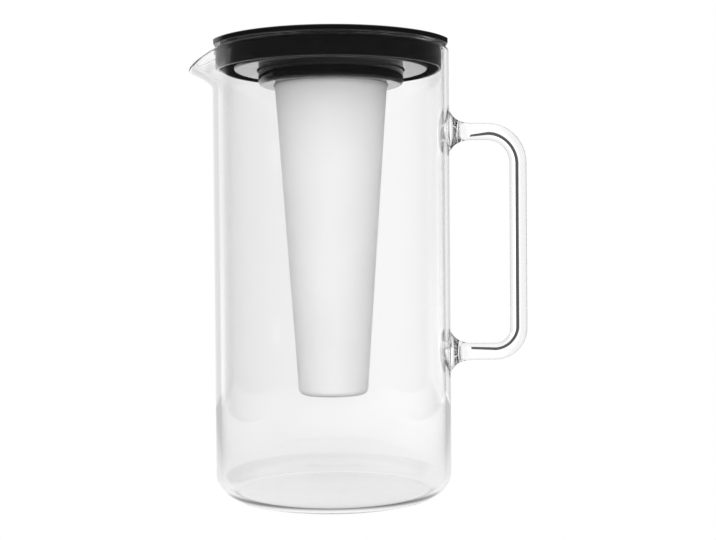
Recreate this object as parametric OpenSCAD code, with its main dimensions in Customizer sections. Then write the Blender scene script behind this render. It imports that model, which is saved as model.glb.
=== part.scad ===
// Iced tea maker: a straight glass jug with a fused rod handle, a push-in lid,
// and a closed tapered tube that a screw collar holds under the lid.
// Millimetres, +Z up. The origin is on the jug's axis, on the surface it stands on.
// +X points to the handle and -X to the spout.

/* [Jug] */
// Outer diameter of the jug
jug_d = 105; // [100:0.5:110]
// Height of the glass rim
rim_z = 197.7; // [190:0.1:210]
// Thickness of the glass wall
wall = 2.3; // [2:0.1:2.6]
// Thickness of the glass floor
floor_t = 2.3; // [2:0.1:4]
// Outer radius of the rounded heel
heel_r = 10.4; // [7:0.1:14]

/* [Spout] */
// How far the lip is drawn out past the wall
spout_out = 10.8; // [8:0.1:12]
// How far the lip dips below the rim
spout_dip = 7.2; // [5:0.1:8]
// Height where the wall starts to swell into the spout
spout_z = 180; // [172:1:182]
// Half of the angle that the spout takes up, in degrees
spout_half = 38; // [30:1:45]

/* [Handle] */
// Diameter of the glass rod
rod_d = 7.6; // [7:0.2:9]
// Distance from the jug's axis to the upright stretch of the rod
rod_x = 83.5; // [80:0.1:88]
// Height of the upper stretch
rod_top_z = 161.8; // [150:0.1:165]
// Height of the lower stretch
rod_low_z = 63.2; // [55:0.1:75]
// Radius of the upper bend, on the rod's centreline
bend_top_r = 14; // [10:0.5:16]
// Radius of the lower bend, on the rod's centreline
bend_low_r = 10.5; // [8:0.5:14]
// Radius of the hollow fillet where the rod is melted onto the wall
foot_r = 8; // [4:0.1:9]

/* [Lid] */
// Outer diameter of the flange
flange_d = 109; // [108:0.1:110]
// Width across the flats that leave the flange clear of the spout and of the handle
flange_flats = 100.6; // [100:0.1:104]
// Thickness of the flange
flange_t = 2.4; // [1.8:0.1:3]
// Outer diameter of the skirt that drops into the jug
skirt_d = 98.4; // [98:0.1:99.2]
// Depth of the skirt below the top of the lid
skirt_h = 11.8; // [9:0.1:14]
// Thickness of the moulded walls
shell_t = 1.8; // [1.6:0.1:2]
// Outer diameter of the finger well's underside
well_d = 86.6; // [86:0.1:88]
// Outer diameter of the boss in the middle of the finger well
boss_d = 69.4; // [69:0.1:71]

/* [Collar] */
// Outer diameter of the collar
collar_d = 64.6; // [64:0.1:65]
// Height of the collar
collar_h = 14.2; // [13:0.1:14.6]
// Height of the collar's lower face
collar_z = 182.4; // [182:0.1:184]
// Height gained in one turn of the thread
lead = 6; // [5:0.5:7]

/* [Tube] */
// Outer diameter of the tube just below the collar
tube_top_d = 50; // [46:0.5:50]
// Outer diameter of the tube just above its rounded end
tube_end_d = 31; // [26:0.5:34]
// Height of the tube's closed end
tube_z = 44.8; // [40:0.1:60]
// Thickness of the tube's wall
tube_wall = 1.6; // [1.2:0.1:2]
// Radius of the rounded edge at the closed end
tube_edge_r = 2.6; // [2:0.1:4]

/* [Hidden] */
$fn = 96;

jug_r = jug_d / 2;
rim_r = wall / 2;
heel_in_r = heel_r - wall;

// The spout is a swept wall, a hair thinner than the jug's, so that its edges sink into it
spout_skin = 0.05;
spout_steps = 26;
spout_rows = 12;
lip_steps = 4;
spout_bite = 1;
spout_curve = 2.2;

rod_r = rod_d / 2;
// The fillets start inside the wall's outer face, deep enough to meet it at their sides too
foot_sink = jug_r - sqrt(jug_r * jug_r - pow(rod_r + foot_r, 2)) + 0.05;

// The lid hangs on the glass rim with a small gap
lid_gap = 0.3;
lid_low_z = rim_z + lid_gap;
lid_top_z = lid_low_z + flange_t;
skirt_z = lid_top_z - skirt_h;
skirt_t = 1.2;
well_z = skirt_z + 0.3;
well_edge_r = 1.2;
boss_top_t = 1.8;
boss_drop = 0.4;
flange_edge_r = 0.7;

neck_out_r = 29.2;
neck_in_r = 27.2;
neck_z = collar_z + 4.2;

collar_bore_r = 30.4;
lip_t = 1.6;
lip_gap = 0.45;
collar_edge_r = collar_d / 2 - collar_bore_r;

// Two ridges on the neck run between two ridges in the collar
starts = 2;
ridge_h = 0.9;
ridge_bite = 0.4;
ridge_root_w = 1.2;
ridge_crest_w = 0.7;
turn_steps = 36;
neck_turns = 1.2;
collar_turns = 0.75;
neck_ridge_z = neck_z + 1.2;
collar_ridge_z = neck_ridge_z + lead / starts / 2;

tube_flange_gap = 0.05;
tube_flange_z = collar_z + lip_t + tube_flange_gap;
tube_flange_t = 1.3;
tube_flange_r = 29.4;
spigot_r = 26.6;
spigot_h = 2;
gasket_in_r = 26.9;
gasket_out_r = 29.2;
gasket_t = 1.1;
gasket_edge_r = 0.3;
tube_taper_z = collar_z - tube_z - tube_edge_r;

function swell_side(a) = abs(a) >= spout_half ? 0 : pow(cos(90 * a / spout_half), 3);
function swell_up(t) = t <= 0 ? 0 : pow(t, spout_curve);

// Height of the middle of the rounded rim, at an angle from the spout's middle
function lip_z(a) = rim_z - rim_r - spout_dip * swell_side(a);

// Middle of the wall's thickness at row t, as radius and height
function wall_mid(a, t) = [
    jug_r - rim_r + spout_out * swell_side(a) * swell_up(t),
    spout_z + (lip_z(a) - spout_z) * t
];

// Direction that points out of the wall at row t
function wall_out(a, t) =
    let (step = wall_mid(a, t + 0.01) - wall_mid(a, t - 0.01))
    [step[1], -step[0]] / norm(step);

// Closed outline of the spout's wall at one angle
function spout_outline(a) =
    let (half_t = rim_r - spout_skin,
         foot = -spout_bite / (rim_z - spout_z),
         rows = [for (i = [0:spout_rows]) foot + (1 - foot) * i / spout_rows],
         end = wall_out(a, 1),
         up = [-end[1], end[0]])
    concat(
        [for (t = rows) wall_mid(a, t) + half_t * wall_out(a, t)],
        [for (i = [1:lip_steps - 1])
            let (w = 180 * i / lip_steps) wall_mid(a, 1) + half_t * (cos(w) * end + sin(w) * up)],
        [for (i = [spout_rows:-1:0]) wall_mid(a, rows[i]) - half_t * wall_out(a, rows[i])]
    );

// Skin a row of outlines that all have n points
function skin_faces(rows, n) = concat(
    [[for (k = [n - 1:-1:0]) k]],
    [[for (k = [0:n - 1]) (rows - 1) * n + k]],
    [for (i = [0:rows - 2]) for (k = [0:n - 1])
        let (a = i * n + k, b = i * n + (k + 1) % n) each [[a, b, b + n], [a, b + n, a + n]]]
);

module spout_wall() {
    reach = spout_half + spout_bite;
    angles = [for (i = [0:spout_steps]) -reach + 2 * reach * i / spout_steps];
    outlines = [for (a = angles) spout_outline(a)];
    n = len(outlines[0]);
    points = [for (i = [0:spout_steps]) for (p = outlines[i])
        [p[0] * cos(180 + angles[i]), p[0] * sin(180 + angles[i]), p[1]]];
    polyhedron(points, skin_faces(spout_steps + 1, n), convexity = 6);
}

// Half outline of a pot with a rounded bottom corner
module pot_half(r, h, corner) {
    translate([0, corner]) square([r, h - corner]);
    square([r - corner, corner]);
    intersection() {
        translate([r - corner, corner]) circle(corner);
        square([r, corner]);
    }
}

module spout_gap() {
    far = 2 * jug_r;
    translate([0, 0, spout_z]) linear_extrude(rim_z)
        polygon([[0, 0], [-far, far * tan(spout_half)], [-far, -far * tan(spout_half)]]);
}

module jug_body() {
    color("azure", 0.4) {
        difference() {
            rotate_extrude($fn = 180) {
                difference() {
                    pot_half(jug_r, rim_z - rim_r, heel_r);
                    translate([0, floor_t]) pot_half(jug_r - wall, rim_z, heel_in_r);
                }
                translate([jug_r - rim_r, rim_z - rim_r]) circle(rim_r, $fn = 32);
            }
            spout_gap();
        }
        spout_wall();
    }
}

// A quarter bend of the rod whose corner lies at the origin, from +Z round to -X
module rod_bend(r) {
    translate([-r, 0, -r]) rotate([90, 0, 0]) rotate_extrude(angle = 90) translate([r, 0]) circle(rod_r);
}

// One stretch of the rod along +X, with the fillet of its melted foot
module rod_stretch(z, r) {
    start = jug_r - foot_sink;
    translate([start, 0, z]) rotate([0, 90, 0]) {
        cylinder(r = rod_r, h = rod_x - r - start);
        rotate_extrude() difference() {
            square([rod_r + foot_r, foot_r]);
            translate([rod_r + foot_r, foot_r]) circle(foot_r);
        }
    }
}

module jug_handle() {
    color("azure", 0.5) difference() {
        union() {
            rod_stretch(rod_top_z, bend_top_r);
            rod_stretch(rod_low_z, bend_low_r);
            translate([rod_x, 0, rod_top_z]) rod_bend(bend_top_r);
            translate([rod_x, 0, rod_low_z]) mirror([0, 0, 1]) rod_bend(bend_low_r);
            translate([rod_x, 0, rod_low_z + bend_low_r])
                cylinder(r = rod_r, h = rod_top_z - bend_top_r - rod_low_z - bend_low_r);
        }
        cylinder(r = jug_r, h = rim_z, $fn = 180);
    }
}

// Ring outline between two radii and two heights
module ring_half(r_in, r_out, z_low, z_high) {
    translate([r_in, z_low]) square([r_out - r_in, z_high - z_low]);
}

// A ridge that climbs like a right-hand thread, wider at its root
module thread_ridge(r_in, w_in, r_out, w_out, z_start, turns, angle) {
    steps = ceil(turns * turn_steps);
    section = [[r_in, -w_in / 2], [r_out, -w_out / 2], [r_out, w_out / 2], [r_in, w_in / 2]];
    points = [for (i = [0:steps]) for (p = section)
        let (a = angle + 360 * turns * i / steps)
        [p[0] * cos(a), p[0] * sin(a), z_start + lead * turns * i / steps + p[1]]];
    polyhedron(points, skin_faces(steps + 1, 4), convexity = 4);
}

module lid() {
    color("#1b1b1c") {
        // Turned as one, then cut flat at the spout and at the handle
        intersection() {
            rotate_extrude($fn = 180) {
                // Flange with a rounded edge, out to the skirt and in to the finger well
                ring_half(well_d / 2 - shell_t, flange_d / 2 - flange_edge_r, lid_low_z, lid_top_z);
                ring_half(skirt_d / 2, flange_d / 2, lid_low_z + flange_edge_r, lid_top_z - flange_edge_r);
                for (z = [lid_low_z + flange_edge_r, lid_top_z - flange_edge_r])
                    translate([flange_d / 2 - flange_edge_r, z]) circle(flange_edge_r, $fn = 24);
                ring_half(skirt_d / 2 - skirt_t, skirt_d / 2, skirt_z, lid_top_z - flange_edge_r);
                // Finger well: its wall, its floor with a rounded lower edge, and the boss in its middle
                ring_half(well_d / 2 - shell_t, well_d / 2, well_z + well_edge_r, lid_top_z);
                ring_half(boss_d / 2 - shell_t, well_d / 2 - well_edge_r, well_z, well_z + shell_t);
                translate([well_d / 2 - well_edge_r, well_z + well_edge_r]) circle(well_edge_r, $fn = 32);
                ring_half(boss_d / 2 - shell_t, boss_d / 2, well_z, lid_top_z - boss_drop);
                ring_half(0, boss_d / 2, lid_top_z - boss_drop - boss_top_t, lid_top_z - boss_drop);
                // Neck that the collar screws onto
                ring_half(neck_in_r, neck_out_r, neck_z, lid_top_z - boss_drop);
            }
            translate([-flange_flats / 2, -flange_d, neck_z - 1])
                cube([flange_flats, 2 * flange_d, lid_top_z - neck_z + 2]);
        }
        for (i = [0:starts - 1])
            thread_ridge(neck_out_r - ridge_bite, ridge_root_w, neck_out_r + ridge_h, ridge_crest_w,
                neck_ridge_z, neck_turns, 360 * i / starts);
    }
}

module collar() {
    color("#222223") {
        rotate_extrude($fn = 144) {
            ring_half(collar_bore_r, collar_d / 2, collar_z + collar_edge_r, collar_z + collar_h);
            ring_half(tube_top_d / 2 + lip_gap, collar_bore_r, collar_z, collar_z + lip_t);
            translate([collar_bore_r, collar_z + collar_edge_r]) intersection() {
                circle(collar_edge_r, $fn = 48);
                translate([0, -collar_edge_r]) square(collar_edge_r);
            }
        }
        for (i = [0:starts - 1])
            thread_ridge(collar_bore_r - ridge_h, ridge_crest_w, collar_bore_r + ridge_bite, ridge_root_w,
                collar_ridge_z, collar_turns, 360 * i / starts);
    }
}

// Half outline of the tapered tube, grown inwards by t for its hollow
module tube_half(t) {
    end_r = tube_end_d / 2 - t;
    top_r = tube_top_d / 2 - t;
    edge = tube_edge_r - t / 2;
    low = tube_z + t;
    slope = (tube_top_d - tube_end_d) / 2 / tube_taper_z;
    polygon([
        [0, low], [end_r - edge, low], [end_r, low + edge],
        [top_r, collar_z], [top_r + slope * t, tube_flange_z + 10], [0, tube_flange_z + 10]
    ]);
    intersection() {
        translate([end_r - edge, low + edge]) circle(edge, $fn = 48);
        translate([0, low]) square([end_r, edge]);
    }
}

module insert_tube() {
    top = tube_flange_z + tube_flange_t;
    color("whitesmoke", 0.85) rotate_extrude($fn = 144) difference() {
        union() {
            intersection() {
                tube_half(0);
                square([jug_r, top]);
            }
            ring_half(0, tube_flange_r, tube_flange_z, top);
            ring_half(0, spigot_r, tube_flange_z, top + spigot_h);
        }
        tube_half(tube_wall);
    }
}

module tube_gasket() {
    low = tube_flange_z + tube_flange_t;
    color("gainsboro") rotate_extrude($fn = 144) {
        ring_half(gasket_in_r, gasket_out_r, low + gasket_edge_r, low + gasket_t - gasket_edge_r);
        ring_half(gasket_in_r + gasket_edge_r, gasket_out_r - gasket_edge_r, low, low + gasket_t);
        for (r = [gasket_in_r + gasket_edge_r, gasket_out_r - gasket_edge_r])
            for (z = [low + gasket_edge_r, low + gasket_t - gasket_edge_r])
                translate([r, z]) circle(gasket_edge_r, $fn = 16);
    }
}

jug_body();
jug_handle();
lid();
collar();
insert_tube();
tube_gasket();
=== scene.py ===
import math

import bmesh
import bpy
from mathutils import Matrix, Vector


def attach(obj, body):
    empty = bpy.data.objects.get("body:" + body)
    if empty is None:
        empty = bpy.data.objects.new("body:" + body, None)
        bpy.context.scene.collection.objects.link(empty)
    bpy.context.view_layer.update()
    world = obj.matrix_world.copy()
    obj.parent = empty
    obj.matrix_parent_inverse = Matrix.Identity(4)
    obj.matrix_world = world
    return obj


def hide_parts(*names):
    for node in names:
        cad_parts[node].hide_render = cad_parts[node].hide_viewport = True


# Iced tea maker: glass jug with a melted-on rod handle, glossy black lid and collar, frosted tube.
# +X points to the handle, -X to the spout, +Z up. Sizes are written in millimetres; mm turns them to metres.

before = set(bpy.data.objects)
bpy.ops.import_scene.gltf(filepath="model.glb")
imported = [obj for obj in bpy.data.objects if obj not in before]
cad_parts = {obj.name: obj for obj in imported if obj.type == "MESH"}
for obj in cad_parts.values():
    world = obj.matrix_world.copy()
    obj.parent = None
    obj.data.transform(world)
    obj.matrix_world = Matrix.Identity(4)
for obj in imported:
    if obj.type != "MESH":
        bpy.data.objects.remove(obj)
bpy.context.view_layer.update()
scene = bpy.context.scene
mm = 0.001
fullTurn = 2 * math.pi
mergeGap = 0.001 * mm    # closer points become one
roundSteps = 3           # segments for each millimetre of an edge's rounding
flatWeight = 80          # how strongly wide faces set the shading


def roundedOutline(corners, closed=True):
    # corners holds (radius from the axis, height, rounding) for each corner of a half section
    bm = bmesh.new()
    points = [bm.verts.new((r * mm, 0, z * mm)) for r, z, rounding in corners]
    following = points[1:] + points[:1] if closed else points[1:]
    for a, b in zip(points, following):
        bm.edges.new((a, b))
    for point, (r, z, rounding) in zip(points, corners):
        if rounding:
            bmesh.ops.bevel(bm, geom=[point], offset=rounding * mm, offset_type="OFFSET", affect="VERTICES",
                            segments=max(4, round(rounding * roundSteps)), profile=0.5, material=-1)
    return bm


def turnRound(bm, steps):
    bmesh.ops.spin(bm, geom=bm.verts[:] + bm.edges[:], cent=(0, 0, 0), axis=(0, 0, 1), dvec=(0, 0, 0),
                   angle=fullTurn, steps=steps, use_merge=True)
    bmesh.ops.remove_doubles(bm, verts=bm.verts[:], dist=mergeGap)
    bmesh.ops.recalc_face_normals(bm, faces=bm.faces[:])


def addThreadRidges(bm, thread):
    # one ridge per start, a trapezium in section, wound up with a right-hand lead
    rootR, crestR = thread["rootR"] * mm, thread["crestR"] * mm
    for start in range(thread["starts"]):
        ridge = bmesh.new()
        section = [ridge.verts.new((rootR, 0, -thread["rootW"] * mm / 2)),
                   ridge.verts.new((crestR, 0, -thread["crestW"] * mm / 2)),
                   ridge.verts.new((crestR, 0, thread["crestW"] * mm / 2)),
                   ridge.verts.new((rootR, 0, thread["rootW"] * mm / 2))]
        face = ridge.faces.new(section)
        steps = round(thread["turns"] * thread["stepsPerTurn"])
        rise = Vector((0, 0, thread["lead"] * thread["turns"] * mm / steps))
        bmesh.ops.spin(ridge, geom=[face] + list(face.edges) + section, cent=(0, 0, 0), axis=(0, 0, 1),
                       dvec=rise, angle=fullTurn * thread["turns"], steps=steps)
        bmesh.ops.holes_fill(ridge, edges=[e for e in ridge.edges if e.is_boundary], sides=4)
        bmesh.ops.recalc_face_normals(ridge, faces=ridge.faces[:])
        place = Matrix.Translation((0, 0, thread["lowZ"] * mm))
        turned = Matrix.Rotation(fullTurn * start / thread["starts"], 4, "Z")
        bmesh.ops.transform(ridge, verts=ridge.verts[:], matrix=place @ turned)
        mesh = bpy.data.meshes.new("ridge")
        ridge.to_mesh(mesh)
        ridge.free()
        bm.from_mesh(mesh)
        bpy.data.meshes.remove(mesh)


def newObject(name, bm):
    for face in bm.faces:
        face.smooth = True
    mesh = bpy.data.meshes.new(name)
    bm.to_mesh(mesh)
    bm.free()
    piece = bpy.data.objects.new(name, mesh)
    scene.collection.objects.link(piece)
    return piece


def dress(piece, material, body, slotName, *nodes):
    # wide faces keep their own direction, so only the rounded edges catch a highlight
    piece.data.materials.clear()
    piece.data.materials.append(material)
    flow = piece.modifiers.new("evenShading", "WEIGHTED_NORMAL")
    flow.mode = "FACE_AREA"
    flow.weight = flatWeight
    flow.keep_sharp = True
    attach(piece, body)
    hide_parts(*nodes)
    print("made", piece.name, len(piece.data.polygons), "faces")


def linear(hexColour):
    # sRGB hex to the linear values that shaders take
    parts = [int(hexColour[i:i + 2], 16) / 255 for i in (1, 3, 5)]
    return [c / 12.92 if c <= 0.04045 else ((c + 0.055) / 1.055) ** 2.4 for c in parts] + [1.0]


def addNode(tree, kind, settings=None, **inputs):
    # settings are the node's own fields; an input takes a value, a socket, or a node for its first output
    node = tree.nodes.new(kind)
    for key, value in (settings or {}).items():
        setattr(node, key, value)
    for key, value in inputs.items():
        numbered = key[0] == "i" and key[1:].isdigit()
        socket = node.inputs[int(key[1:]) if numbered else key.replace("_", " ")]
        if isinstance(value, bpy.types.Node):
            value = value.outputs[0]
        if isinstance(value, bpy.types.NodeSocket):
            tree.links.new(value, socket)
        else:
            socket.default_value = value
    return node


def newMaterial(name):
    material = bpy.data.materials.new(name)
    material.use_nodes = True
    material.node_tree.nodes.clear()
    return material, material.node_tree


def finishMaterial(tree, surface):
    addNode(tree, "ShaderNodeOutputMaterial", Surface=surface)


glassLook = {
    "colour": "#FCFCFC",
    "ior": 1.473,            # borosilicate
    "streakMm": 9.0,         # width of the soft streaks that drawing the glass tube leaves
    "streakDepthMm": 0.004,
    "streakPull": 0.04,      # the pattern changes this much less along Z, so each streak runs far up the wall
    "streakForce": 0.35,
}


def borosilicateGlass():
    # drawn, lamp-worked borosilicate glass: clear and polished, with faint upright streaks in its reflections
    material, tree = newMaterial("borosilicateGlass")
    place = addNode(tree, "ShaderNodeTexCoord")
    drawn = addNode(tree, "ShaderNodeMapping", Vector=place.outputs["Object"],
                    Scale=(1.0, 1.0, glassLook["streakPull"]))
    streaks = addNode(tree, "ShaderNodeTexNoise", {"noise_dimensions": "3D"}, Vector=drawn,
                      Scale=1 / (glassLook["streakMm"] * mm), Detail=2.0, Roughness=0.45)
    ripple = addNode(tree, "ShaderNodeBump", Height=streaks, Strength=glassLook["streakForce"],
                     Distance=glassLook["streakDepthMm"] * mm)
    glass = addNode(tree, "ShaderNodeBsdfPrincipled", Base_Color=linear(glassLook["colour"]), Roughness=0.0,
                    IOR=glassLook["ior"], Transmission_Weight=1.0, Normal=ripple)
    finishMaterial(tree, glass)
    return material


blackLook = {
    "colour": "#0A0A0A",
    "worn": "#0E0E0E",
    "roughness": (0.0675, 0.1215),   # where the gloss is best and where it is cloudiest
    "ior": 1.5,
    "grainMm": 0.9,          # fine flow marks of a polished mould, drawn a little coarser than they are
    "grainDepthMm": 0.0003,
    "grainForce": 0.25,
    "cloudMm": 22.0,         # how wide the cloudy patches in its gloss are
}


def blackPolypropylene():
    # black polypropylene from a polished mould: glossy, with a faint orange peel and cloudy gloss
    material, tree = newMaterial("blackPolypropylene")
    place = addNode(tree, "ShaderNodeTexCoord")
    cloud = addNode(tree, "ShaderNodeTexNoise", {"noise_dimensions": "3D"}, Vector=place.outputs["Object"],
                    Scale=1 / (blackLook["cloudMm"] * mm), Detail=3.0)
    peel = addNode(tree, "ShaderNodeTexNoise", {"noise_dimensions": "3D"}, Vector=place.outputs["Object"],
                   Scale=1 / (blackLook["grainMm"] * mm), Detail=2.0)
    tone = addNode(tree, "ShaderNodeMix", {"data_type": "RGBA"}, i0=cloud,
                   i6=linear(blackLook["colour"]), i7=linear(blackLook["worn"]))
    smooth, dull = blackLook["roughness"]
    gloss = addNode(tree, "ShaderNodeMapRange", Value=cloud, To_Min=smooth, To_Max=dull)
    skin = addNode(tree, "ShaderNodeBump", Height=peel, Strength=blackLook["grainForce"],
                   Distance=blackLook["grainDepthMm"] * mm)
    plastic = addNode(tree, "ShaderNodeBsdfPrincipled", Base_Color=tone.outputs[2], Roughness=gloss,
                      IOR=blackLook["ior"], Normal=skin)
    finishMaterial(tree, plastic)
    return material


frostLook = {
    "colour": "#F4F4F4",
    "inner": "#E9E9E9",
    "roughness": 0.55,
    "ior": 1.45,
    "frostMm": 0.6,          # grain of the sandblasted mould, drawn coarser so that it shows
    "frostDepthMm": 0.02,
    "frostForce": 0.3,
    "cloudMm": 35.0,         # how wide the milkier patches are
    "scatterMm": 1.5,        # how far light spreads inside the milky wall
}


def frostedCopolyester():
    # copolyester moulded against a sandblasted cavity: milky, lets light through, no clear view
    material, tree = newMaterial("frostedCopolyester")
    place = addNode(tree, "ShaderNodeTexCoord")
    cloud = addNode(tree, "ShaderNodeTexNoise", {"noise_dimensions": "3D"}, Vector=place.outputs["Object"],
                    Scale=1 / (frostLook["cloudMm"] * mm), Detail=2.0)
    grain = addNode(tree, "ShaderNodeTexNoise", {"noise_dimensions": "3D"}, Vector=place.outputs["Object"],
                    Scale=1 / (frostLook["frostMm"] * mm), Detail=2.0)
    tone = addNode(tree, "ShaderNodeMix", {"data_type": "RGBA"}, i0=cloud,
                   i6=linear(frostLook["colour"]), i7=linear(frostLook["inner"]))
    frost = addNode(tree, "ShaderNodeBump", Height=grain, Strength=frostLook["frostForce"],
                    Distance=frostLook["frostDepthMm"] * mm)
    milky = addNode(tree, "ShaderNodeBsdfPrincipled", Base_Color=tone.outputs[2],
                    Roughness=frostLook["roughness"], IOR=frostLook["ior"], Subsurface_Weight=1.0,
                    Subsurface_Radius=(1.0, 1.0, 1.0), Subsurface_Scale=frostLook["scatterMm"] * mm,
                    Normal=frost)
    finishMaterial(tree, milky)
    return material


siliconeLook = {
    "colour": "#DADAD7",
    "dusty": "#CFCFCB",
    "roughness": 0.6,
    "ior": 1.41,
    "dustMm": 1.5,
}


def cloudySilicone():
    # pressed silicone rubber: soft sheen and a slightly dusty skin
    material, tree = newMaterial("cloudySilicone")
    place = addNode(tree, "ShaderNodeTexCoord")
    dust = addNode(tree, "ShaderNodeTexNoise", {"noise_dimensions": "3D"}, Vector=place.outputs["Object"],
                   Scale=1 / (siliconeLook["dustMm"] * mm), Detail=3.0)
    tone = addNode(tree, "ShaderNodeMix", {"data_type": "RGBA"}, i0=dust,
                   i6=linear(siliconeLook["colour"]), i7=linear(siliconeLook["dusty"]))
    rubber = addNode(tree, "ShaderNodeBsdfPrincipled", Base_Color=tone.outputs[2],
                     Roughness=siliconeLook["roughness"], IOR=siliconeLook["ior"])
    finishMaterial(tree, rubber)
    return material


glass = borosilicateGlass()
black = blackPolypropylene()
frosted = frostedCopolyester()
silicone = cloudySilicone()
print("materials ready")


jug = {
    "outerR": 52.5, "wall": 2.3, "rimZ": 197.7, "floor": 2.3,
    "heelOuter": 10.4, "heelInner": 8.1,
    "spoutOut": 10.65, "spoutDip": 7.2, "spoutZ": 180.0, "spoutHalfAngle": 38.0, "spoutCurve": 2.2,
    "spoutSharp": 3, "slopeStep": 0.01,
    "steps": 288, "spoutRows": 22,
    # rows of points up the straight wall, closer together at the handle's feet
    "wallRows": [30, 52, 58, 63, 68, 74, 90, 110, 130, 150, 157, 162, 167, 173],
}


def spoutSide(angle):
    # 1 in the middle of the spout, 0 at its sides
    reach = angle / math.radians(jug["spoutHalfAngle"])
    return 0.0 if abs(reach) >= 1 else math.cos(math.pi / 2 * reach) ** jug["spoutSharp"]


def spoutMiddle(angle, t):
    # radius and height of the middle of the wall, t of the way up the spout
    lipZ = jug["rimZ"] - jug["wall"] / 2 - jug["spoutDip"] * spoutSide(angle)
    swell = jug["spoutOut"] * spoutSide(angle) * max(t, 0.0) ** jug["spoutCurve"]
    return Vector((jug["outerR"] - jug["wall"] / 2 + swell, jug["spoutZ"] + (lipZ - jug["spoutZ"]) * t))


def drawSpout(bm):
    # the wall keeps its thickness while the spout draws it outwards and down
    middleR = jug["outerR"] - jug["wall"] / 2
    lipZ = jug["rimZ"] - jug["wall"] / 2
    for vert in bm.verts:
        r, z = math.hypot(vert.co.x, vert.co.y) / mm, vert.co.z / mm
        angle = math.atan2(-vert.co.y, -vert.co.x)
        if z <= jug["spoutZ"] or spoutSide(angle) == 0:
            continue
        t = min(1.0, (z - jug["spoutZ"]) / (lipZ - jug["spoutZ"]))
        along = spoutMiddle(angle, t + jug["slopeStep"]) - spoutMiddle(angle, t - jug["slopeStep"])
        along.normalize()
        outwards = Vector((along.y, -along.x))
        place = spoutMiddle(angle, t) + (r - middleR) * outwards + max(0.0, z - lipZ) * along
        vert.co = Vector((-place.x * math.cos(angle), -place.x * math.sin(angle), place.y)) * mm


def makeJugBody():
    inner = jug["outerR"] - jug["wall"]
    rim = jug["wall"] / 2
    top = jug["rimZ"]
    drawn = top - rim - jug["spoutZ"]
    rows = jug["wallRows"] + [jug["spoutZ"] + drawn * i / jug["spoutRows"] for i in range(jug["spoutRows"])]
    corners = [(0, 0, 0), (jug["outerR"], 0, jug["heelOuter"])]
    corners += [(jug["outerR"], z, 0) for z in rows]
    corners += [(jug["outerR"], top, rim), (inner, top, rim)]
    corners += [(inner, z, 0) for z in reversed(rows)]
    corners += [(inner, jug["floor"], jug["heelInner"]), (0, jug["floor"], 0)]
    bm = roundedOutline(corners, closed=False)
    turnRound(bm, jug["steps"])
    drawSpout(bm)
    return newObject("jugGlass", bm)


handle = {
    "rodR": 3.8, "rodX": 83.5, "topZ": 161.8, "lowZ": 63.2, "bendTop": 14.0, "bendLow": 10.5,
    # how the melted foot narrows: distance outside the wall and radius there
    "foot": [(-1.7, 12.2), (-0.9, 10.9), (-0.2, 9.8), (0.5, 8.8), (1.2, 7.8), (1.9, 6.9), (2.8, 6.0),
             (3.9, 5.25), (5.2, 4.65), (6.6, 4.2), (8.2, 3.92), (10.0, 3.8)],
    "ringSteps": 64, "bendSteps": 18, "uprightSteps": 6,
}


def handleStations():
    # along the rod: x, z, the way it points (0 is +X, turning towards -Z), radius
    wallX = jug["outerR"]
    r = handle["rodR"]
    up = [(wallX + d, handle["topZ"], 0.0, size) for d, size in handle["foot"]]
    down = [(wallX + d, handle["lowZ"], math.pi, size) for d, size in reversed(handle["foot"])]
    for bend, z, start in ((handle["bendTop"], handle["topZ"] - handle["bendTop"], 0.0),
                           (handle["bendLow"], handle["lowZ"] + handle["bendLow"], math.pi / 2)):
        for i in range(handle["bendSteps"] + 1):
            turn = start + math.pi / 2 * i / handle["bendSteps"]
            up.append((handle["rodX"] - bend + bend * math.sin(turn), z + bend * math.cos(turn), turn, r))
        if start == 0.0:
            highZ, lowZ = z, handle["lowZ"] + handle["bendLow"]
            for i in range(1, handle["uprightSteps"]):
                upright = highZ + (lowZ - highZ) * i / handle["uprightSteps"]
                up.append((handle["rodX"], upright, math.pi / 2, r))
    return up + down


def stationFrame(station):
    x, z, turn, radius = station
    return (Matrix.Translation((x * mm, 0, z * mm)) @ Matrix.Rotation(turn, 4, "Y")
            @ Matrix.Rotation(math.pi / 2, 4, "Y") @ Matrix.Scale(radius, 4))


def makeHandle():
    # one ring of the rod is pulled along its path, and its ends are closed inside the wall
    bm = bmesh.new()
    stations = handleStations()
    made = bmesh.ops.create_circle(bm, segments=handle["ringSteps"], radius=mm, cap_ends=False)
    ring = made["verts"]
    place = stationFrame(stations[0])
    bmesh.ops.transform(bm, verts=ring, matrix=place)
    edges = list({e for v in ring for e in v.link_edges})
    bmesh.ops.contextual_create(bm, geom=edges)
    for station in stations[1:]:
        grown = bmesh.ops.extrude_edge_only(bm, edges=edges)["geom"]
        edges = [g for g in grown if isinstance(g, bmesh.types.BMEdge)]
        ring = [g for g in grown if isinstance(g, bmesh.types.BMVert)]
        following = stationFrame(station)
        bmesh.ops.transform(bm, verts=ring, matrix=following @ place.inverted())
        place = following
    bmesh.ops.contextual_create(bm, geom=edges)
    bmesh.ops.recalc_face_normals(bm, faces=bm.faces[:])
    return newObject("handleGlass", bm)


def weld(piece, other):
    # the two are melted into one piece of glass, with no wall left between them
    union = piece.modifiers.new("weld", "BOOLEAN")
    union.operation = "UNION"
    union.solver = "EXACT"
    union.object = other
    bpy.context.view_layer.update()
    welded = bpy.data.meshes.new_from_object(piece.evaluated_get(bpy.context.evaluated_depsgraph_get()))
    welded.name = piece.name
    piece.modifiers.clear()
    piece.data = welded
    bpy.data.objects.remove(other)
    for face in welded.polygons:
        face.use_smooth = True


jugGlass = makeJugBody()
weld(jugGlass, makeHandle())
dress(jugGlass, glass, "jug", "jug_glass", "jug_body", "jug_handle")


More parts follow.
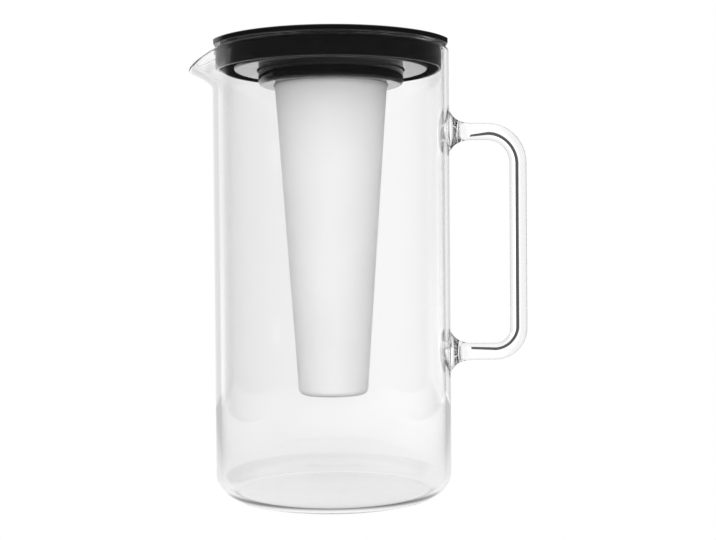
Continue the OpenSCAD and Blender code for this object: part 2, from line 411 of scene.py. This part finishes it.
lid = {
    "flangeR": 54.48, "flatX": 50.3, "flatEdge": 0.5, "topZ": 200.4, "flangeLowZ": 198.0,
    "skirtR": 49.2, "skirtInnerR": 48.0, "skirtZ": 188.6,
    "wellR": 43.3, "wellInnerR": 41.5, "wellZ": 188.9, "wellFloorZ": 190.7,
    "bossR": 34.7, "bossInnerR": 32.9, "bossTopZ": 200.0, "bossLowZ": 198.2,
    "neckR": 29.2, "neckInnerR": 27.2, "neckZ": 186.6,
    "steps": 256,
    # how far each edge is rounded
    "wellEdge": 0.55, "bossEdge": 0.9, "flangeTopEdge": 0.7, "flangeLowEdge": 0.6, "skirtEdge": 0.5,
    "wellRound": 1.2, "underEdge": 0.4, "neckEdge": 0.3,
    "thread": {"starts": 2, "rootR": 28.8, "crestR": 30.1, "rootW": 1.2, "crestW": 0.7, "lead": 6.0,
               "turns": 1.2, "lowZ": 187.8, "stepsPerTurn": 90},
}


def cutFlats(bm):
    # the flange stops short of the spout and of the handle, with a soft edge round each flat
    for side in (-1, 1):
        bmesh.ops.bisect_plane(bm, geom=bm.verts[:] + bm.edges[:] + bm.faces[:], dist=mergeGap,
                               plane_co=(side * lid["flatX"] * mm, 0, 0), plane_no=(side, 0, 0),
                               clear_outer=True)
        made = bmesh.ops.holes_fill(bm, edges=[e for e in bm.edges if e.is_boundary], sides=0)
        bmesh.ops.bevel(bm, geom=list({e for f in made["faces"] for e in f.edges}),
                        offset=lid["flatEdge"] * mm, offset_type="OFFSET", affect="EDGES", segments=3,
                        profile=0.5, material=-1, clamp_overlap=True)


def makeLid():
    boss, skirt, under, neck = lid["bossEdge"], lid["skirtEdge"], lid["underEdge"], lid["neckEdge"]
    bm = roundedOutline([
        (0, lid["bossTopZ"], 0), (lid["bossR"], lid["bossTopZ"], boss),
        (lid["bossR"], lid["wellFloorZ"], boss), (lid["wellInnerR"], lid["wellFloorZ"], boss),
        (lid["wellInnerR"], lid["topZ"], lid["wellEdge"]),
        (lid["flangeR"], lid["topZ"], lid["flangeTopEdge"]),
        (lid["flangeR"], lid["flangeLowZ"], lid["flangeLowEdge"]),
        (lid["skirtR"], lid["flangeLowZ"], skirt), (lid["skirtR"], lid["skirtZ"], skirt),
        (lid["skirtInnerR"], lid["skirtZ"], skirt), (lid["skirtInnerR"], lid["flangeLowZ"], skirt),
        (lid["wellR"], lid["flangeLowZ"], skirt), (lid["wellR"], lid["wellZ"], lid["wellRound"]),
        (lid["bossInnerR"], lid["wellZ"], under), (lid["bossInnerR"], lid["bossLowZ"], under),
        (lid["neckR"], lid["bossLowZ"], under), (lid["neckR"], lid["neckZ"], neck),
        (lid["neckInnerR"], lid["neckZ"], neck), (lid["neckInnerR"], lid["bossLowZ"], under),
        (0, lid["bossLowZ"], 0),
    ], closed=False)
    turnRound(bm, lid["steps"])
    cutFlats(bm)
    addThreadRidges(bm, lid["thread"])
    return newObject("lidBlack", bm)


dress(makeLid(), black, "lid", "black_plastic", "lid")


collar = {
    "outerR": 32.3, "boreR": 30.4, "lowZ": 182.4, "topZ": 196.6, "lip": 1.6, "lipR": 25.45,
    "steps": 224, "corner": 1.9, "edge": 0.5, "lipEdge": 0.4, "rootEdge": 0.2,
    "thread": {"starts": 2, "rootR": 30.8, "crestR": 29.5, "rootW": 1.2, "crestW": 0.7, "lead": 6.0,
               "turns": 0.75, "lowZ": 189.3, "stepsPerTurn": 90},
}


def makeCollar():
    lipTop = collar["lowZ"] + collar["lip"]
    edge = collar["edge"]
    bm = roundedOutline([
        (collar["lipR"], collar["lowZ"], edge), (collar["outerR"], collar["lowZ"], collar["corner"]),
        (collar["outerR"], collar["topZ"], edge), (collar["boreR"], collar["topZ"], edge),
        (collar["boreR"], lipTop, collar["rootEdge"]), (collar["lipR"], lipTop, collar["lipEdge"]),
    ])
    turnRound(bm, collar["steps"])
    addThreadRidges(bm, collar["thread"])
    return newObject("collarBlack", bm)


dress(makeCollar(), black, "collar", "black_plastic", "collar")


tube = {
    "lowZ": 44.8, "endR": 15.5, "topR": 25.0, "lipZ": 182.4, "wall": 1.6, "endDraft": 0.1,
    "flangeZ": 184.05, "flangeT": 1.3, "flangeR": 29.4, "spigotR": 26.6, "spigotH": 2.0,
    "endRound": 2.6, "innerRound": 1.8, "flangeEdge": 0.3, "spigotRoot": 0.2, "mouthEdge": 0.4,
    "rows": [70, 95, 120, 145, 168], "steps": 192,
}


def makeTube():
    slope = (tube["topR"] - tube["endR"]) / (tube["lipZ"] - tube["lowZ"] - tube["endRound"])
    flangeTop = tube["flangeZ"] + tube["flangeT"]
    mouthZ = flangeTop + tube["spigotH"]
    mouthR = tube["topR"] - tube["wall"] + slope * (mouthZ - tube["lipZ"])
    flange, mouth = tube["flangeEdge"], tube["mouthEdge"]
    outer = [(tube["topR"] - slope * (tube["lipZ"] - z), z, 0) for z in tube["rows"]]
    corners = [(0, tube["lowZ"], 0), (tube["endR"] - tube["endDraft"], tube["lowZ"], tube["endRound"])]
    corners += outer
    corners += [(tube["topR"] + slope * (tube["flangeZ"] - tube["lipZ"]), tube["flangeZ"], flange),
                (tube["flangeR"], tube["flangeZ"], flange), (tube["flangeR"], flangeTop, flange),
                (tube["spigotR"], flangeTop, tube["spigotRoot"]), (tube["spigotR"], mouthZ, mouth),
                (mouthR, mouthZ, mouth)]
    corners += [(r - tube["wall"], z, 0) for r, z, rounding in reversed(outer)]
    corners += [(tube["endR"] - tube["wall"], tube["lowZ"] + tube["wall"], tube["innerRound"]),
                (0, tube["lowZ"] + tube["wall"], 0)]
    bm = roundedOutline(corners, closed=False)
    turnRound(bm, tube["steps"])
    return newObject("tubeFrosted", bm)


dress(makeTube(), frosted, "tube", "frosted_plastic", "insert_tube")

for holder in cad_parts["tube_gasket"].material_slots:
    holder.material = silicone
print("pieces dressed")


shot = {
    "distance": 545.9, "height": 111.23, "yaw": 0.020883, "pitch": 0.020173, "roll": -0.00814,
    "focalPixels": 1219.0, "imageWidth": 716, "sensor": 36.0, "clipStart": 10.0,
}


def photoCamera():
    yaw, pitch, roll = shot["yaw"], shot["pitch"], shot["roll"]
    forward = Vector((math.sin(yaw) * math.cos(pitch), math.cos(yaw) * math.cos(pitch), -math.sin(pitch)))
    level = Vector((math.cos(yaw), -math.sin(yaw), 0))
    rise = level.cross(forward)
    right = level * math.cos(roll) + rise * math.sin(roll)
    up = rise * math.cos(roll) - level * math.sin(roll)
    data = bpy.data.cameras.new("photoCamera")
    data.sensor_width = shot["sensor"]
    data.lens = shot["focalPixels"] / shot["imageWidth"] * shot["sensor"]
    data.clip_start = shot["clipStart"] * mm
    camera = bpy.data.objects.new("photoCamera", data)
    scene.collection.objects.link(camera)
    turn = Matrix((right, up, -forward)).transposed().to_4x4()
    camera.matrix_world = Matrix.Translation((0, -shot["distance"] * mm, shot["height"] * mm)) @ turn
    scene.camera = camera


# settings that many nodes of the floor and the room share
times = {"operation": "MULTIPLY"}
larger = {"operation": "MAXIMUM"}
single = {"data_type": "FLOAT"}
gentle = {"interpolation_type": "SMOOTHSTEP"}

# what befell the light on its way: which depth tells it, and the depth that has to be passed
events = {
    "mirrored": ("Glossy Depth", 0.5),
    "often": ("Glossy Depth", 1.5),
    "bent": ("Transmission Depth", 0.5),
    "beyond": ("Transmission Depth", 3.5),   # out again through the far wall
    "spread": ("Diffuse Depth", 0.5),
}


def rayKind(tree, *names):
    # one node for each name, 1 for light that it happened to and 0 for other light
    path = addNode(tree, "ShaderNodeLightPath")
    kinds = []
    for depth, passed in (events[name] for name in names):
        kinds.append(addNode(tree, "ShaderNodeMath", {"operation": "GREATER_THAN"}, i0=path.outputs[depth],
                             i1=passed))
    return kinds


sheet = {
    "half": 300.0, "drop": 0.4,
    "bare": 1.0,             # as the camera sees it
    "oftenTone": 0.5,        # for light that was mirrored again and again
    "mattTone": 0.45,        # for light that a matt face spread
    "frontDark": 0.06,       # what polished faces mirror of its front part
    "contactShadowTone": 0.12,     # painted contact shadow in the ring under the jug's heel
    # each runs from its first tone to its second while its source goes from low to high, which are
    # millimetres, and for the course shares of the way that lie along Y
    # order: source, low, high, first tone, second tone
    "ramps": {
        "sideMirrored": ("aside", 45.0, 160.0, 1.0, 0.6),
        "rearMirrored": ("y", -250.0, -60.0, 0.0, 1.0),
        "behindJug": ("y", -50.0, 20.0, 0.0, 1.0),
        # rightBrighter, nearDarker, awayFromJug and acrossDarker paint shade and light into the sheet as seen
        # through glass
        "rightBrighter": ("x", -100.0, 76.0, 1.0, 1.13),
        "nearDarker": ("reach", 40.0, 300.0, 0.85, 1.0),
        "awayFromJug": ("reach", 60.0, 200.0, 0.0, 1.0),
        "acrossDarker": ("course", 0.1, 0.8, 0.75, 1.0),
        "heelInside": ("reach", 43.0, 47.0, 1.0, 0.0),
        "heelOutside": ("reach", 47.0, 51.8, 0.0, 1.0),
        "heelRear": ("y", -20.0, 0.0, 0.0, 1.0),
    },
}


def whiteFloor():
    # a pale sheet that is lit from below, so nothing on it throws a hard shadow
    bm = bmesh.new()
    bmesh.ops.create_grid(bm, x_segments=1, y_segments=1, size=sheet["half"] * mm)
    bmesh.ops.translate(bm, verts=bm.verts[:], vec=(0, 0, -sheet["drop"] * mm))
    floor = newObject("floor", bm)
    material, tree = newMaterial("litPaper")
    mirrored, often, bent, spread = rayKind(tree, "mirrored", "often", "bent", "spread")
    metres = addNode(tree, "ShaderNodeTexCoord").outputs["Object"]
    place = addNode(tree, "ShaderNodeVectorMath", {"operation": "SCALE"}, i0=metres, Scale=1 / mm)
    parts = addNode(tree, "ShaderNodeSeparateXYZ", Vector=place).outputs
    flat = addNode(tree, "ShaderNodeVectorMath", times, i0=place, i1=(1.0, 1.0, 0.0))
    reach = addNode(tree, "ShaderNodeVectorMath", {"operation": "LENGTH"}, i0=flat).outputs["Value"]
    aside = addNode(tree, "ShaderNodeMath", {"operation": "ABSOLUTE"}, i0=parts["X"])
    depth = addNode(tree, "ShaderNodeMath", {"operation": "ABSOLUTE"}, i0=parts["Y"])
    course = addNode(tree, "ShaderNodeMath", {"operation": "DIVIDE"}, i0=depth, i1=reach)
    sources = {"x": parts["X"], "y": parts["Y"], "aside": aside, "reach": reach, "course": course}
    tones = {}
    for name, (source, low, high, first, second) in sheet["ramps"].items():
        tones[name] = addNode(tree, "ShaderNodeMapRange", gentle, Value=sources[source], From_Min=low,
                              From_Max=high, To_Min=first, To_Max=second)
    # painted shade and light: through glass the sheet's glow is made greyer near the jug and to its sides,
    # and brighter to the right behind it
    sideways = addNode(tree, "ShaderNodeMix", single, i0=tones["behindJug"], i2=1.0,
                       i3=tones["rightBrighter"])
    far = addNode(tree, "ShaderNodeMix", single, i0=tones["awayFromJug"], i2=1.0, i3=tones["acrossDarker"])
    nearby = addNode(tree, "ShaderNodeMath", times, i0=tones["nearDarker"], i1=far)
    through = addNode(tree, "ShaderNodeMath", times, i0=sideways, i1=nearby)
    seen = addNode(tree, "ShaderNodeMix", single, i0=bent, i2=sheet["bare"], i3=through)
    back = addNode(tree, "ShaderNodeMix", single, i0=tones["rearMirrored"], i2=sheet["frontDark"],
                   i3=tones["sideMirrored"])
    once = addNode(tree, "ShaderNodeMix", single, i0=mirrored, i2=seen, i3=back)
    clear = addNode(tree, "ShaderNodeMix", single, i0=often, i2=once, i3=sheet["oftenTone"])
    # painted contact shadow: the heel stands close to the sheet, which shows through it as a thin dark ring
    # along its front, painted into the sheet's glow
    gap = addNode(tree, "ShaderNodeMath", larger, i0=tones["heelInside"], i1=tones["heelOutside"])
    uncovered = addNode(tree, "ShaderNodeMath", larger, i0=gap, i1=tones["heelRear"])
    # the sheet's tone falls to the painted shadow tone inside the ring
    heel = addNode(tree, "ShaderNodeMix", single, i0=uncovered, i2=sheet["contactShadowTone"], i3=1.0)
    shaded = addNode(tree, "ShaderNodeMath", times, i0=clear, i1=heel)
    polished = addNode(tree, "ShaderNodeMix", single, i0=bent, i2=clear, i3=shaded)
    tone = addNode(tree, "ShaderNodeMix", single, i0=spread, i2=polished, i3=sheet["mattTone"])
    finishMaterial(tree, addNode(tree, "ShaderNodeEmission", Color=linear("#FFFFFF"), Strength=tone))
    floor.data.materials.append(material)


# the hidden strip that paints the dark line seen along the rod: its grey and its place
strip = {
    "tone": "#5A5A5A", "behind": 27.0, "half": 2.8,
    "start": 8.0,            # distance from the wall where the strip begins
    "outTop": 2.6, "outUpright": 1.9, "outLow": 4.4,
    "dipTop": 6.5, "dipLow": 2.5, "dipLength": 13.0, "dipCurve": 1.5,   # it bends inwards near the feet
}


def darkCard():
    # painted dark line: a thin dark glowing strip hidden behind the rod, out of the camera's own sight and
    # seen only through the glass, draws the dark line along it
    eye = Vector((0, -shot["distance"], shot["height"]))
    reach = 1 + strip["behind"] / shot["distance"]
    startX = jug["outerR"] + strip["start"]
    bm = bmesh.new()
    edges = []
    for x, z, turn, radius in handleStations():
        if x < startX:
            continue
        away = Vector((math.sin(turn), 0, math.cos(turn)))
        dip = max(0.0, 1 - (x - startX) / strip["dipLength"]) ** strip["dipCurve"]
        shift = ((strip["outTop"] + strip["dipTop"] * dip) * max(0, away.z)
                 + strip["outUpright"] * max(0, away.x)
                 + (strip["outLow"] + strip["dipLow"] * dip) * max(0, -away.z))
        spot = eye + (Vector((x, 0, z)) - eye) * reach + away * shift
        ends = [bm.verts.new((spot + away * side * strip["half"]) * mm) for side in (-1, 1)]
        edges.append(bm.edges.new(ends))
    for first, second in zip(edges, edges[1:]):
        bmesh.ops.bridge_loops(bm, edges=[first, second])
    card = newObject("darkCard", bm)
    material, tree = newMaterial("paintedDarkLine")
    finishMaterial(tree, addNode(tree, "ShaderNodeEmission", Color=linear(strip["tone"]), Strength=1.0))
    card.data.materials.append(material)
    card.visible_camera = card.visible_shadow = card.visible_diffuse = card.visible_glossy = False


room = {
    "bare": 1.0,                            # as the camera sees it
    "frontDark": 0.06, "backLight": 0.85,   # what polished faces mirror of the room's front and back
    "backTurn": (-0.34, 0.94, 0.0),         # the bright back of the room lies a little to the left
    "openAir": 0.62,                        # dims the light on matt faces that no glass covers
    # each runs from its first tone to its second while a part of the direction goes from low to high
    # order: source, low, high, first tone, second tone
    "ramps": {
        "lowBack": ("z", -0.06, 0.02, 1.3, 0.85),
        "toBack": ("back", 0.7, 0.9, 0.0, 1.0),
        "sky": ("z", 0.45, 0.8, 0.0, 0.75),
        "onward": ("y", 0.76, 0.87, 0.0, 1.0),
        "turnedAside": ("x", -0.3, 0.3, 0.72, 1.2),
        "rightBrighter": ("x", -0.12, 0.09, 1.0, 1.13),
        "farRight": ("x", 0.17, 0.32, 1.0, 1.5),
        "ahead": ("y", 0.8, 0.92, 0.0, 1.0),
        "acrossDarker": ("depth", 0.1, 0.8, 0.75, 1.0),
        "mattFront": ("y", -0.9, 0.1, 2.25, 0.25),
        "mattBack": ("y", 0.35, 0.95, 0.0, 0.9),
        "mattHigh": ("z", -0.3, 0.7, 0.7, 2.0),
    },
}


def softRoom():
    # white all round; only reflections find the dark front of the room
    world = bpy.data.worlds.new("softRoom")
    scene.world = world
    world.use_nodes = True
    tree = world.node_tree
    tree.nodes.clear()
    mirrored, often, bent, beyond, spread = rayKind(tree, "mirrored", "often", "bent", "beyond", "spread")
    look = addNode(tree, "ShaderNodeTexCoord").outputs["Generated"]
    parts = addNode(tree, "ShaderNodeSeparateXYZ", Vector=look).outputs
    depth = addNode(tree, "ShaderNodeMath", {"operation": "ABSOLUTE"}, i0=parts["Y"])
    back = addNode(tree, "ShaderNodeVectorMath", {"operation": "DOT_PRODUCT"}, i0=look, i1=room["backTurn"])
    sources = {"x": parts["X"], "y": parts["Y"], "z": parts["Z"], "depth": depth,
               "back": back.outputs["Value"]}
    tones = {}
    for name, (source, low, high, first, second) in room["ramps"].items():
        tones[name] = addNode(tree, "ShaderNodeMapRange", gentle, Value=sources[source], From_Min=low,
                              From_Max=high, To_Min=first, To_Max=second)
    # mirrored once: a bright back and sky in a dark room
    backTone = addNode(tree, "ShaderNodeMix", single, i0=beyond, i2=room["backLight"], i3=tones["lowBack"])
    rear = addNode(tree, "ShaderNodeMix", single, i0=tones["toBack"], i2=room["frontDark"], i3=backTone)
    shade = addNode(tree, "ShaderNodeMath", larger, i0=rear, i1=tones["sky"])
    # mirrored inside the near wall and going on, or mirrored again and again: light
    within = addNode(tree, "ShaderNodeMath", {"operation": "SUBTRACT"}, i0=bent, i1=beyond)
    once = addNode(tree, "ShaderNodeMath", times, i0=within, i1=tones["onward"])
    turned = addNode(tree, "ShaderNodeMath", larger, i0=once, i1=often)
    kept = addNode(tree, "ShaderNodeMix", single, i0=turned, i2=shade, i3=tones["turnedAside"])
    # seen through glass: a little brighter to the right, darker to either side
    rightwards = addNode(tree, "ShaderNodeMath", times, i0=tones["rightBrighter"], i1=tones["farRight"])
    onwards = addNode(tree, "ShaderNodeMix", single, i0=tones["ahead"], i2=room["bare"], i3=rightwards)
    through = addNode(tree, "ShaderNodeMath", times, i0=onwards, i1=tones["acrossDarker"])
    seen = addNode(tree, "ShaderNodeMix", single, i0=bent, i2=room["bare"], i3=through)
    polished = addNode(tree, "ShaderNodeMix", single, i0=mirrored, i2=seen, i3=kept)
    # on matt faces: a broad soft light from the front and above, a weaker one from behind
    around = addNode(tree, "ShaderNodeMath", {"operation": "ADD"}, i0=tones["mattFront"],
                     i1=tones["mattBack"])
    soft = addNode(tree, "ShaderNodeMath", times, i0=around, i1=tones["mattHigh"])
    cover = addNode(tree, "ShaderNodeMix", single, i0=bent, i2=room["openAir"], i3=1.0)
    matt = addNode(tree, "ShaderNodeMath", times, i0=soft, i1=cover)
    tone = addNode(tree, "ShaderNodeMix", single, i0=spread, i2=polished, i3=matt)
    light = addNode(tree, "ShaderNodeBackground", Color=linear("#FFFFFF"), Strength=tone)
    addNode(tree, "ShaderNodeOutputWorld", Surface=light)


whiteFloor()
darkCard()
softRoom()
photoCamera()
bounces = {"glass": 128, "matt": 16}    # light is led a long way round inside the thick feet of the handle
scene.view_settings.view_transform = "Standard"
scene.cycles.max_bounces = bounces["glass"]
scene.cycles.transmission_bounces = bounces["glass"]
scene.cycles.glossy_bounces = bounces["glass"]
scene.cycles.diffuse_bounces = bounces["matt"]
print("room and camera ready")
